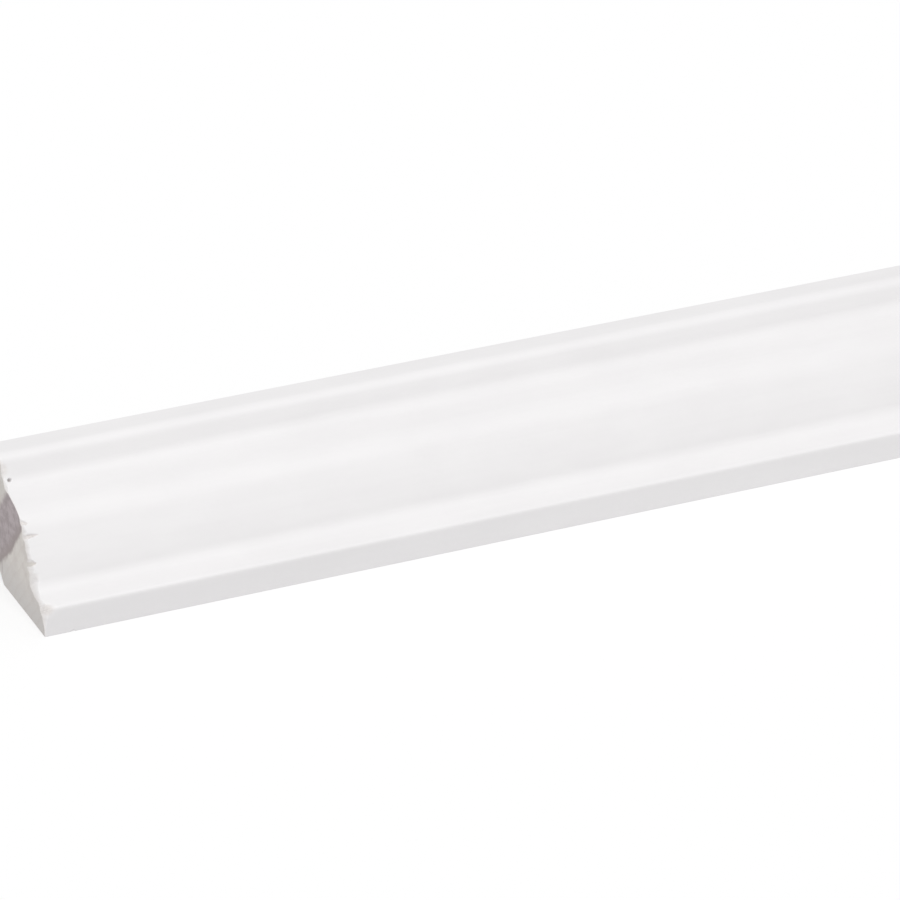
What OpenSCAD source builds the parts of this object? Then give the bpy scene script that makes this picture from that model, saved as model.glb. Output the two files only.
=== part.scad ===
// A length of small crown moulding, square cut at both ends.
// It lies along X on its bottom seat, with the moulded face towards -Y and up.
// The section's two legs are at right angles: one seat lies on the ground, the
// other stands upright at the back, and a flat back joins them at 45 degrees.

/* [Length and legs] */
// Length, cut square at both ends
length = 180; // [60:5:2400]
// Depth and height of the section, the same both ways
leg = 25; // [22:0.5:40]
// Width of each flat seat, at the bottom and up the back
seat_width = 20.2; // [12:0.2:21.5]

/* [Edge fillets] */
// Height of the upright fillet along the front edge
front_fillet = 4.8; // [3.5:0.1:6.5]
// Radius on the arris at the top of the front fillet
arris_r = 0.6; // [0.1:0.1:1.2]
// Depth of the level fillet along the top edge
top_fillet = 3.7; // [2.5:0.1:5.5]

/* [Lower ledge and cove] */
// Rise of the ledge, in degrees from level
ledge_angle = 16; // [8:1:22]
// Radius of the cove between the ledge and the ovolo
lower_cove_r = 3.6; // [1.5:0.1:4.2]

/* [Ovolo] */
// Slope of the ovolo where it leaves the lower cove, in degrees from level
flank_foot_angle = 70; // [67:1:80]
// Slope where its long flank turns into the shoulder
flank_head_angle = 58; // [50:1:62]
// Radius of the shoulder
shoulder_r = 8; // [5:0.5:9.5]
// Slope of the top of the ovolo, in degrees from level
top_slope_angle = 16; // [8:1:24]
// Length of that slope, up to the upper cove
top_slope_length = 3.1; // [1.5:0.1:4.5]

/* [Upper cove and bead] */
// Radius of the upper cove
upper_cove_r = 3.6; // [1.6:0.1:4.4]
// Slope of the short riser above it, in degrees from level
riser_angle = 68; // [60:1:80]
// Length of the riser
riser_length = 1.9; // [1:0.1:3.5]
// Radius of the bead under the top fillet
bead_r = 2.2; // [0.8:0.1:2.8]

/* [Hidden] */
degrees_per_step = 3;

// Unit step in a direction, in the section's own plane: [back, up]
function heading(angle) = [cos(angle), sin(angle)];

// Where an arc of radius r ends, measured from where it starts, as it turns
// from one heading to the other: a falling heading bulges out, a rising one
// hollows in
function turn(r, from, to) =
    r * sign(from - to) * [sin(from) - sin(to), cos(to) - cos(from)];

// Points along such an arc, without its first one
function arc_points(start, r, from, to) =
    let (steps = ceil(abs(from - to) / degrees_per_step))
    [for (i = [1:steps]) start + turn(r, from, from + (to - from) * i / steps)];

// The face runs from the front fillet up to the top fillet. Everything on it has
// a size of its own but two: the ledge's depth and the flank's radius, which take
// up what is left of the two legs.
fillet_top = [0, front_fillet];
bead_end = [leg - top_fillet, leg];
ledge_start = fillet_top + turn(arris_r, 90, ledge_angle);
sized_run = turn(lower_cove_r, ledge_angle, flank_foot_angle)
    + turn(shoulder_r, flank_head_angle, top_slope_angle)
    + top_slope_length * heading(top_slope_angle)
    + turn(upper_cove_r, top_slope_angle, riser_angle)
    + riser_length * heading(riser_angle)
    + turn(bead_r, riser_angle, 0);
left_over = bead_end - ledge_start - sized_run;
ledge_step = heading(ledge_angle);
flank_step = turn(1, flank_foot_angle, flank_head_angle);
ledge_length = cross(left_over, flank_step) / cross(ledge_step, flank_step);
flank_r = cross(ledge_step, left_over) / cross(ledge_step, flank_step);

// The ends of the face's stretches, from the bottom up
ledge_end = ledge_start + ledge_length * ledge_step;
flank_foot = ledge_end + turn(lower_cove_r, ledge_angle, flank_foot_angle);
flank_head = flank_foot + flank_r * flank_step;
shoulder_end = flank_head + turn(shoulder_r, flank_head_angle, top_slope_angle);
slope_end = shoulder_end + top_slope_length * heading(top_slope_angle);
riser_foot = slope_end + turn(upper_cove_r, top_slope_angle, riser_angle);
riser_head = riser_foot + riser_length * heading(riser_angle);

// Outline of the section, from the front bottom edge up the face and down the back
section = concat(
    [[0, 0], fillet_top],
    arc_points(fillet_top, arris_r, 90, ledge_angle),
    [ledge_end],
    arc_points(ledge_end, lower_cove_r, ledge_angle, flank_foot_angle),
    arc_points(flank_foot, flank_r, flank_foot_angle, flank_head_angle),
    arc_points(flank_head, shoulder_r, flank_head_angle, top_slope_angle),
    [slope_end],
    arc_points(slope_end, upper_cove_r, top_slope_angle, riser_angle),
    [riser_head],
    arc_points(riser_head, bead_r, riser_angle, 0),
    [[leg, leg], [leg, leg - seat_width], [seat_width, 0]]
);

// One solid length: the section stood upright and run along X
module crown_moulding() {
    color("white")
        translate([-length / 2, -leg / 2, 0])
            rotate([90, 0, 90])
                linear_extrude(length)
                    polygon(section);
}

crown_moulding();
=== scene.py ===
import math

import bpy
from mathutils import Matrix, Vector, noise
from mathutils.geometry import delaunay_2d_cdt


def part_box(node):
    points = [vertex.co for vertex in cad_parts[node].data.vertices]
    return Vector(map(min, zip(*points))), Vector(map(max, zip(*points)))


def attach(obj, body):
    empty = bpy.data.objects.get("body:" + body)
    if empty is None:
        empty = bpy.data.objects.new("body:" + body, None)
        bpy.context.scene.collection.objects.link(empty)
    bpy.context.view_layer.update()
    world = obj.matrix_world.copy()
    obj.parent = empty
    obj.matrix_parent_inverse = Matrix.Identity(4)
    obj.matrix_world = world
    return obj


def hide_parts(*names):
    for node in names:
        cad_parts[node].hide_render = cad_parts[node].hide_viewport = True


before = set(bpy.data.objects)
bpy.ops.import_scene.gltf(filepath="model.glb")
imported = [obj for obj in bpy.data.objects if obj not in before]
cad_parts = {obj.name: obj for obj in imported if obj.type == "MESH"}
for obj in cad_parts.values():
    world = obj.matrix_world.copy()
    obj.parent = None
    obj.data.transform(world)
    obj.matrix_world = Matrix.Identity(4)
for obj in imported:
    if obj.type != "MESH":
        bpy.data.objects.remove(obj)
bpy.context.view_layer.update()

# ---------------------------------------------------------------------------
# The milled stick. A strip of pine goes once through a four-headed moulder,
# which cuts the face, the two seats and the flat back between them. A last pass
# eases the back arrises. Lengths are millimetres in the stick's own section.
# ---------------------------------------------------------------------------
MM = 0.001
stick_low, stick_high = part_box("crown_moulding")
LEG = (stick_high.z - stick_low.z) / MM
LENGTH = (stick_high.x - stick_low.x) / MM
SEAT = 20.2
FRONT_FILLET = 4.8
TOP_FILLET = 3.7
EASE = 0.12
BACK_EASE = 0.4
FACE_SPACING = 0.12
BACK_SPACING = 0.4


def section_path(ledge, flank_radius):
    """The stretches once round the section: (name, length) or (name, radius, heading at its end)."""
    back_tangent = BACK_EASE * math.tan(math.radians(22.5))
    back_flat = (LEG - SEAT) * math.sqrt(2)
    return [
        ("front fillet", FRONT_FILLET - EASE),
        ("front arris", 0.6, 16),
        ("ledge", ledge),
        ("lower cove", 3.6, 70),
        ("flank", flank_radius, 58),
        ("shoulder", 8.0, 16),
        ("top slope", 3.1),
        ("upper cove", 3.6, 68),
        ("riser", 1.9),
        ("bead", 2.2, 0),
        ("top fillet", TOP_FILLET - EASE),
        ("top arris", EASE, -90),
        ("back seat", SEAT - EASE - back_tangent),
        ("upper back arris", BACK_EASE, -135),
        ("back", back_flat - 2 * back_tangent),
        ("lower back arris", BACK_EASE, -180),
        ("bottom seat", SEAT - EASE - back_tangent),
        ("bottom arris", EASE, -270),
    ]


def unit(heading):
    return Vector((math.cos(math.radians(heading)), math.sin(math.radians(heading))))


def walk(path, last=None):
    """Follows a path up from the bottom arris: its points, where each stretch runs, and its end."""
    at, heading, run = Vector((0, EASE)), 90, 0
    points, stretches = [], {}
    spacing = FACE_SPACING
    for name, size, *turned in path:
        start = run
        if name == "top arris":
            spacing = BACK_SPACING
        if turned:
            bend = turned[0] - heading
            side = math.copysign(90, bend)
            centre = at + size * unit(heading + side)
            arc = abs(math.radians(bend)) * size
            steps = math.ceil(max(arc / spacing, abs(bend) / 8, 1))
            for i in range(steps):
                spoke = unit(heading - side + bend * i / steps)
                points.append((centre + size * spoke, run + arc * i / steps))
            heading += bend
            at = centre + size * unit(heading - side)
            run += arc
        else:
            steps = max(math.ceil(size / spacing), 1)
            for i in range(steps):
                points.append((at + unit(heading) * size * i / steps, run + size * i / steps))
            at = at + unit(heading) * size
            run += size
        stretches[name] = (start, run)
        if name == last:
            break
    return points, stretches, at


def closing_sizes():
    """The ledge's depth and the flank's radius, which take up what the rest leaves of the legs."""
    def end(ledge, flank_radius):
        return walk(section_path(ledge, flank_radius), "top fillet")[2]
    bare_end = end(0, 0)
    per_ledge, per_radius = end(1, 0) - bare_end, end(0, 1) - bare_end
    left = Vector((LEG - EASE, LEG)) - bare_end
    det = per_ledge.cross(per_radius)
    return left.cross(per_radius) / det, per_ledge.cross(left) / det


outline, stretches, _ = walk(section_path(*closing_sizes()))
around = stretches["bottom arris"][1]
count = len(outline)


def along(name, share=0.0):
    """How far round the section a point on a stretch lies."""
    start, end = stretches[name]
    return start + (end - start) * share


def inward(index, reach):
    """The way into the wood at a point of the outline, averaged over its neighbours within reach."""
    total = Vector((0, 0))
    here = outline[index][1]
    for step in range(-count // 2, count // 2):
        a, run = outline[(index + step) % count]
        apart = abs(run - here)
        apart = min(apart, around - apart)
        if apart <= reach:
            edge = outline[(index + step + 1) % count][0] - a
            total += Vector((edge.y, -edge.x)) * (1 - 0.9 * apart / reach)
    return total.normalized()


# ---------------------------------------------------------------------------
# The cut ends. A mitre saw goes through wood and primer together. At the left
# end its teeth came out at the face: they tore coat and fibres off the front
# edge and pulled a few splinters. The right end is a clean cut.
# ---------------------------------------------------------------------------
def ramp(value, low, high):
    share = min(max((value - low) / (high - low), 0), 1)
    return share * share * (3 - 2 * share)


def rough(run, deep, size, seed):
    """Ragged noise from 0 to 1, by the way round the section and the way in from the end."""
    return 0.5 + 0.5 * noise.fractal(Vector((run / size, deep / size, seed)), 0.7, 2.0, 3)


# The left end is torn all along from the front arris to the shoulder, and deeper where a
# bite came away. Bites: way round, half width, depth
TORN_DEPTH = 0.75
TORN_FADE = 1.8
RIM_DEPTH = 0.08
bites = [
    (along("front arris", 0.5), 4.0, 1.85),
    (along("lower cove", 0.85), 4.2, 2.10),
    (along("flank", 0.22), 2.6, 1.60),
    (along("flank", 0.67), 2.5, 1.10),
    (along("shoulder", 0.02), 1.8, 1.20),
    (along("upper cove", 0.38), 1.6, 0.70),
    (along("riser", 0.1), 1.5, 0.50),
]


def torn_at(run):
    """How far into the section the left end is torn there, and how much bare fibre shows."""
    past = max(along("front arris") - run, run - along("shoulder"), 0)
    depth = max(TORN_DEPTH * (1 - past / TORN_FADE), RIM_DEPTH)
    for middle, half_width, bitten in bites:
        depth = max(depth, bitten * (1 - abs(run - middle) / half_width))
    return depth, 0.56 + 0.10 * min(depth / TORN_DEPTH, 1)


# Splinters pulled out: way round at the end, drift round over its length, length,
# half width, depth, how bare
splinters = [
    (along("flank", 0.93), 0.02, 2.5, 0.66, 0.50, 0.82),
    (along("flank", 0.34), 0.06, 1.15, 1.00, 0.90, 0.95),
    (along("shoulder", 0.36), -0.50, 1.1, 0.75, 0.50, 0.80),
    (along("ledge", 0.35), 0.10, 0.7, 0.22, 0.10, 0.60),
]
# Chips and pits: way round, way in from the end, their two half sizes, depth, how bare
chips = [
    (along("flank", 0.06), 0.45, 1.20, 1.10, 0.14, 0.45),
    (along("upper cove", 0.70), 1.04, 0.36, 0.42, 0.75, 0.60),
    (along("front arris", 0.5), 0.00, 2.00, 2.70, 0.22, 0.78),
    (along("riser", 0.5), 0.00, 1.90, 1.70, 0.05, 0.56),
    (around - 0.05, 5.1, 0.34, 0.50, 0.13, 0.30),
]
# Flakes of coat left standing beside them: way round, way in, half sizes, height
flakes = [
    (along("flank", 0.885), 1.15, 0.24, 0.60, 0.22),
    (along("upper cove", 0.45), 0.55, 0.40, 0.40, 0.28),
    (along("shoulder", 0.24), 0.65, 0.14, 0.30, 0.07),
]


def spot(run, deep, run_at, deep_at, half_run, half_deep):
    """1 at the middle of an oval on the surface, falling to 0 at its rim."""
    apart = abs(run - run_at)
    apart = min(apart, around - apart)
    return 1 - ramp(math.hypot(apart / half_run, (deep - deep_at) / half_deep), 0.35, 1.0)


def left_end_damage(run, deep):
    """How far a point of the surface is pushed into the wood, and how bare it is: 0 coated, 1 bare."""
    torn, strength = torn_at(run)
    ragged = 0.86 + 0.28 * rough(run, 0, 0.7, 1.7)
    reach_in = (0.18 + 0.42 * torn) * (0.7 + 0.6 * rough(run, 0, 1.2, 8.3))
    slope = (1 - min(deep / reach_in, 1)) ** 1.4
    pushed = torn * ragged * slope * (1 - 0.35 * (1 - slope) * rough(run * 3, deep, 0.5, 4.4))
    bare = strength * (1 - min(deep / reach_in, 1)) ** 0.7
    for start, drift, length, half_width, depth, shows in splinters:
        if deep < length:
            taper = 1 - deep / length
            middle = start + drift * deep / length
            wide = half_width * taper ** 0.6 * (0.7 + 0.6 * rough(run, deep, 0.4, 3.1))
            cut = 1 - ramp(abs(run - middle) / max(wide, 1e-6), 0.3, 1.0)
            pushed += depth * cut * taper ** 0.8
            bare = max(bare, shows * cut)
    for run_at, deep_at, half_run, half_deep, depth, shows in chips:
        cut = spot(run, deep, run_at, deep_at, half_run, half_deep)
        pushed += depth * cut * (0.7 + 0.6 * rough(run, deep, 0.25, 5.2))
        bare = max(bare, shows * cut)
    for run_at, deep_at, half_run, half_deep, height in flakes:
        pushed -= height * spot(run, deep, run_at, deep_at, half_run, half_deep)
    return max(pushed, 0.0), bare


def right_end_damage(run, deep):
    edge_deep = 0.10 + 0.14 * rough(run, 0, 1.1, 12.4)
    slope = (1 - min(deep / 0.22, 1)) ** 1.4
    return edge_deep * slope, 0.6 * (1 - ramp(deep, 0.05, 0.24))


def stations():
    """Where the mesh has its rings, in millimetres from the left end: closest by the ends."""
    near = [0.06 * i for i in range(18)] + [1.08 + 0.12 * i for i in range(40)]
    at, step = near[-1], 0.14
    while at + step < LENGTH - 1.2:
        at += step
        near.append(at)
        step = min(step * 1.25, 4.0)
    return near + [LENGTH - 0.8 * (1 - i / 10) ** 1.6 for i in range(11)]


LEFT_DAMAGE = 8
RIGHT_DAMAGE = 1
BLEND_REACH = 3.2
places = stations()
directions = [inward(i, BLEND_REACH) for i in range(count)]
vertices, bareness = [], []
for place in places:
    from_right = LENGTH - place
    for (point, run), direction in zip(outline, directions):
        pushed, bare = 0.0, 0.0
        if place < LEFT_DAMAGE:
            pushed, bare = left_end_damage(run, place)
        elif from_right < RIGHT_DAMAGE:
            pushed, bare = right_end_damage(run, from_right)
        moved = point + direction * pushed
        vertices.append((
            stick_low.x + place * MM,
            stick_low.y + min(max(moved.x, 0), LEG) * MM,
            stick_low.z + min(max(moved.y, 0), LEG) * MM,
        ))
        bareness.append(bare)
faces = []
for ring in range(len(places) - 1):
    for i in range(count):
        a, b = ring * count + i, ring * count + (i + 1) % count
        faces.append((a, a + count, b + count, b))

# Each cut face is a skin of small triangles inside its last ring, scored by the saw
SAW_GRID = 0.36
SAW_PITCH = 0.9
SAW_CENTRE = Vector((-70.0, 95.0))
COAT_EDGE = 0.12


def saw_score(point):
    """How far below the cut's highest points the saw's teeth dug, in millimetres."""
    away = (point - SAW_CENTRE).length
    wander = noise.noise(Vector((point.x / 6, point.y / 6, 2.5)))
    ridge = 0.5 + 0.5 * math.sin(2 * math.pi * (away / SAW_PITCH + wander))
    fibre = noise.fractal(Vector((point.x * 1.6, point.y * 1.6, 7.7)), 0.8, 2.0, 3)
    return 0.012 * ridge + 0.025 * (0.5 + 0.5 * fibre)


def well_within(point, rim, clear):
    """Whether a point is inside the rim and at least that far from it."""
    crossings = 0
    for a, b in zip(rim, rim[1:] + rim[:1]):
        edge = b - a
        share = min(max((point - a).dot(edge) / max(edge.length_squared, 1e-9), 0), 1)
        if (a + edge * share - point).length < clear:
            return False
        if (a.y > point.y) != (b.y > point.y):
            if point.x < a.x + (point.y - a.y) / (b.y - a.y) * edge.x:
                crossings += 1
    return crossings % 2 == 1


def skin(ring, outward):
    """Fills the end that ring number closes. outward is -1 at the left end and 1 at the right."""
    first = ring * count
    rim = []
    for _, y, z in vertices[first:first + count]:
        rim.append(Vector(((y - stick_low.y) / MM, (z - stick_low.z) / MM)))
    # A line of points just inside the rim keeps the sawn edge of the coat even
    inside = []
    for before, here, after in zip(rim[-1:] + rim, rim, rim[1:] + rim[:1]):
        way = (after - before).normalized()
        point = here + Vector((way.y, -way.x)) * COAT_EDGE
        crowded = any((point - other).length < 0.4 * COAT_EDGE for other in inside[-20:])
        if not crowded and well_within(point, rim, 0.7 * COAT_EDGE):
            inside.append(point)
    steps = int(LEG / SAW_GRID) + 1
    for row in range(steps):
        for column in range(steps):
            point = Vector(((column + 0.5 * (row % 2)) * SAW_GRID, row * SAW_GRID))
            if well_within(point, rim, 2.5 * COAT_EDGE):
                inside.append(point)
    spread, _, triangles, origin, _, _ = delaunay_2d_cdt(rim + inside, [], [list(range(count))], 1, 1e-5)
    index = {}
    for i, (point, came_from) in enumerate(zip(spread, origin)):
        on_rim = [o for o in came_from if o < count]
        if on_rim:
            index[i] = first + on_rim[0]
            continue
        index[i] = len(vertices)
        vertices.append((
            vertices[first][0] - outward * saw_score(point) * MM,
            stick_low.y + point.x * MM,
            stick_low.z + point.y * MM,
        ))
        bareness.append(1.0)
    for triangle in triangles:
        corners = [index[i] for i in triangle]
        a, b, c = (Vector(vertices[i][1:]) for i in corners)
        if (b - a).cross(c - a) * outward < 0:
            corners.reverse()
        faces.append(tuple(corners))


skin(0, -1)
skin(len(places) - 1, 1)

SHARP_ANGLE = 38
mesh = bpy.data.meshes.new("primed_moulding")
mesh.from_pydata(vertices, [], faces)
mesh.attributes.new("bare", "FLOAT", "POINT").data.foreach_set("value", bareness)
mesh.shade_smooth()
mesh.set_sharp_from_angle(angle=math.radians(SHARP_ANGLE))
moulding = bpy.data.objects.new("primed_moulding", mesh)
bpy.context.scene.collection.objects.link(moulding)


# ---------------------------------------------------------------------------
# The primer and the pine. The mill sprays one matt white coat all round: the
# grain, the knife marks and a little orange peel show through it. The sawn ends
# are bare pale pine, with a dark resin-stained band that follows the growth rings.
# ---------------------------------------------------------------------------
class Wire:
    """One output in a material's node tree. Sums written with it add Math nodes."""

    def __init__(self, tree, socket=None):
        self.tree = tree
        self.socket = socket

    def node(self, kind, settings=None, inputs=None, output=0):
        made = self.tree.nodes.new("ShaderNode" + kind)
        for name, value in (settings or {}).items():
            setattr(made, name, value)
        for name, value in (inputs or {}).items():
            if isinstance(value, Wire):
                self.tree.links.new(value.socket, made.inputs[name])
            else:
                made.inputs[name].default_value = value
        return None if output is None else Wire(self.tree, made.outputs[output])

    def math(self, operation, *values):
        return self.node("Math", {"operation": operation}, dict(enumerate(values)))

    def __add__(self, other):
        return self.math("ADD", self, other)

    def __sub__(self, other):
        return self.math("SUBTRACT", self, other)

    def __rsub__(self, other):
        return self.math("SUBTRACT", other, self)

    def __mul__(self, other):
        return self.math("MULTIPLY", self, other)

    __radd__ = __add__
    __rmul__ = __mul__

    def sine(self):
        return self.math("SINE", self)

    def fract(self):
        return self.math("FRACT", self)

    def at_least(self, least):
        return self.math("MAXIMUM", self, least)

    def step(self, low, high):
        """0 below low, 1 above high, smooth between."""
        return self.node("MapRange", {"interpolation_type": "SMOOTHSTEP"},
                         {"Value": self, "From Min": low, "From Max": high})

    def mixed(self, low, high):
        """The colour low where this is 0, high where it is 1."""
        return self.node("Mix", {"data_type": "RGBA"}, {0: self, 6: low, 7: high}, 2)

    def axis(self, name):
        return self.node("SeparateXYZ", {}, {"Vector": self}, name)

    def stretched(self, x, y, z):
        return self.node("VectorMath", {"operation": "MULTIPLY"}, {0: self, 1: (x, y, z)})

    def noise(self, size, detail=2.0, roughness=0.5):
        return self.node("TexNoise", {}, {"Vector": self, "Scale": 1 / size, "Detail": detail,
                                          "Roughness": roughness}, "Fac")


def colour(red, green, blue):
    return (red, green, blue, 1.0)


primed_pine = bpy.data.materials.new("primed_pine")
primed_pine.use_nodes = True
tree = primed_pine.node_tree
tree.nodes.clear()
place = Wire(tree).node("TexCoord", output="Object").stretched(1 / MM, 1 / MM, 1 / MM)
x = place.axis("X")
back = place.axis("Y") + LEG / 2
up = place.axis("Z")

# The coat: almost even and a little cloudier over the grain. Painted shade greys the front
# fillet, most towards the left end
KNIFE_PITCH = 1.6
grain_lines = place.stretched(0.03, 1, 1).noise(0.45, 3.0, 0.55)
wide_grain = place.stretched(0.02, 1, 1).noise(1.9, 2.0, 0.5)
clouds = place.stretched(0.5, 1, 1).noise(7.0, 3.0, 0.55)
peel = place.noise(0.9, 2.0, 0.5)
lumps = place.stretched(0.45, 1, 1).noise(2.6, 2.0, 0.5)
coat_tone = (clouds * 0.6 + grain_lines * 0.15 + wide_grain * 0.25).step(0.3, 0.7)
coat_colour = coat_tone.mixed(colour(0.754, 0.742, 0.747), colour(0.780, 0.769, 0.773))
front_fillet_painted_shade = (1 - back.step(0.1, 0.7)) * (1 - up.step(4.2, 5.2)) * (1 - x.step(-80, 60) * 0.5)
# Painted shade on the front fillet, mixed into the coat colour
coat_colour = (front_fillet_painted_shade * 0.5).mixed(coat_colour, colour(0.660, 0.648, 0.655))
knife_marks = (x * (2 * math.pi / KNIFE_PITCH) + wide_grain * 2.0).sine()
coat_height = grain_lines * 0.010 + wide_grain * 0.016 + peel * 0.010
coat_height = coat_height + lumps * 0.030 + knife_marks * 0.0008

# The pine: growth rings nearly straight across so small a section, each dark line sharp on
# its outer side. The wood is palest at the top, darker towards the bottom, with painted contact shade at
# the bottom arris.
RING_SPACING = 2.1
across = back * 0.72 + up * 0.694
wander = place.stretched(0.05, 1, 1).noise(5.0, 2.0, 0.5)
ring_way = across + wander * 1.6
ring = (ring_way * (1 / RING_SPACING)).fract()
late_wood = ring.step(0.45, 0.93) - ring.step(0.95, 1.0)
flecks = place.stretched(0.05, 1, 1).noise(0.30, 3.0, 0.6)
tone = place.stretched(0.05, 1, 1).noise(2.6, 3.0, 0.6)
pale = tone.step(0.36, 0.66).mixed(colour(0.578, 0.542, 0.516), colour(0.632, 0.602, 0.570))
pale = up.step(15.0, 19.0).mixed(pale, colour(0.560, 0.535, 0.505))
pale = up.step(19.5, 22.5).mixed(pale, colour(0.660, 0.640, 0.612))
pale = up.step(0.5, 9.0).mixed(colour(0.545, 0.525, 0.510), pale)
# Painted contact shadow: a thin dark strip along the bottom arris, where the end meets the floor
pale = up.step(0.05, 0.40).mixed(colour(0.430, 0.410, 0.400), pale)
pine = (late_wood * 0.12).mixed(pale, colour(0.430, 0.370, 0.335))

# The resin stain: a mottled band with wavy edges, darker along its lower one, which bellies out
stain_edge = place.stretched(0.05, 1, 1).noise(2.2, 3.0, 0.55)
stain_way = across + stain_edge * 1.4 - 0.7
off_middle = (back - 14.8) * 0.17
bulge = 1 - off_middle * off_middle
stain_low_edge = stain_way + bulge.at_least(0.0) * 0.6
stain = stain_low_edge.step(17.5, 18.4) - stain_way.step(24.8, 26.2)
stain_mottle = place.stretched(0.05, 1, 1).noise(1.3, 3.0, 0.6)
stain_dark, stain_light = colour(0.305, 0.262, 0.268), colour(0.410, 0.358, 0.370)
stain_colour = stain_mottle.step(0.36, 0.64).mixed(stain_dark, stain_light)
stain_colour = stain_low_edge.step(18.0, 20.4).mixed(colour(0.300, 0.255, 0.250), stain_colour)
wood = stain.mixed(pine, stain_colour)

# A fine dark line near the back of the left end, and dark flecks of fibre in all the wood
off_back_line = back - 20.75
across_back_line = 1 - (off_back_line * off_back_line).step(0.02, 0.14)
along_back_line = up.step(1.4, 2.6) - up.step(7.6, 9.4)
back_dark_line = across_back_line * along_back_line * (1 - x.step(-60, -30))
wood = (back_dark_line * 0.38).mixed(wood, colour(0.30, 0.27, 0.26))
wood = (flecks.step(0.52, 0.75) * 0.24).mixed(wood, colour(0.42, 0.36, 0.33))
wood_height = late_wood * 0.012 + flecks * 0.04

# Where the edge is torn, cracked white coat and lifted fibres lie between the coat and the cut wood
bare = place.node("Attribute", {"attribute_name": "bare"}, output="Fac")
patchy = place.stretched(0.4, 1, 1).noise(0.30, 3.0, 0.6) - 0.5
torn = (bare + patchy * 0.12).step(0.05, 0.85)
cut = (bare + patchy * (1.1 - bare) * 0.8).step(0.80, 0.92)
fibre_tone = place.stretched(0.3, 1, 1).noise(0.6, 3.0, 0.6)
fibre = fibre_tone.step(0.35, 0.65).mixed(colour(0.672, 0.638, 0.627), colour(0.720, 0.693, 0.673))
surface = cut.mixed(torn.mixed(coat_colour, fibre), wood)
roughness = torn * 0.28 + 0.40 + clouds * 0.06
height = coat_height * (1 - torn) + wood_height * torn
bump = place.node("Bump", {}, {"Height": height, "Distance": MM, "Strength": 1.0}, "Normal")
shader = place.node("BsdfPrincipled", {}, {
    "Base Color": surface, "Roughness": roughness, "Normal": bump, "Specular IOR Level": 0.5})
shader.node("OutputMaterial", {}, {"Surface": shader}, None)
mesh.materials.append(primed_pine)

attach(moulding, "root")
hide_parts("crown_moulding")

# ---------------------------------------------------------------------------
# The floor. A plain sheet of white translucent card, lit from below, and wide
# enough for every view.
# ---------------------------------------------------------------------------
FLOOR_HALF = 4.0
floor_mesh = bpy.data.meshes.new("floor")
corners = [(-1, -1), (1, -1), (1, 1), (-1, 1)]
floor_mesh.from_pydata([(a * FLOOR_HALF, b * FLOOR_HALF, 0) for a, b in corners], [], [(0, 1, 2, 3)])
floor = bpy.data.objects.new("floor", floor_mesh)
bpy.context.scene.collection.objects.link(floor)
card = bpy.data.materials.new("card")
card.use_nodes = True
card_shader = card.node_tree.nodes["Principled BSDF"]
card_shader.inputs["Base Color"].default_value = colour(0.5, 0.5, 0.5)
card_shader.inputs["Emission Color"].default_value = colour(1, 1, 1)
card_shader.inputs["Emission Strength"].default_value = 0.437
card_shader.inputs["Roughness"].default_value = 0.9
card_shader.inputs["Specular IOR Level"].default_value = 0.1
floor_mesh.materials.append(card)

# ---------------------------------------------------------------------------
# Light and camera. An even white studio: one very large soft light high above
# the face, and even white light from all round.
# ---------------------------------------------------------------------------
world = bpy.data.worlds.new("studio")
bpy.context.scene.world = world
world.use_nodes = True
world.node_tree.nodes["Background"].inputs["Color"].default_value = colour(1, 1, 1)
world.node_tree.nodes["Background"].inputs["Strength"].default_value = 0.657


def direction_to(azimuth, elevation):
    """The way from the moulding towards something seen at that azimuth and elevation, in degrees."""
    a, e = math.radians(azimuth), math.radians(elevation)
    return Vector((math.sin(a) * math.cos(e), -math.cos(a) * math.cos(e), math.sin(e)))


def hang(name, data, azimuth, elevation, distance):
    """Puts a lamp or camera at a distance in that direction, facing the moulding."""
    hung = bpy.data.objects.new(name, data)
    hung.location = direction_to(azimuth, elevation) * distance
    hung.rotation_euler = (-direction_to(azimuth, elevation)).to_track_quat("-Z", "Y").to_euler()
    bpy.context.scene.collection.objects.link(hung)
    return hung


overhead = bpy.data.lights.new("overhead", "SUN")
overhead.angle = 0.7
overhead.energy = 1.6
hang("overhead", overhead, -24, 66, 2.0)

camera_data = bpy.data.cameras.new("camera")
camera_data.sensor_width = 36.0
camera_data.lens = 220.4
camera_data.clip_start = 0.05
camera_data.clip_end = 50.0
camera = hang("camera", camera_data, -24.04, 27.0, 0.9593)
camera.location += Vector((-0.0099, 0.0, 0.0129))
bpy.context.scene.camera = camera
bpy.context.scene.view_settings.view_transform = "Standard"
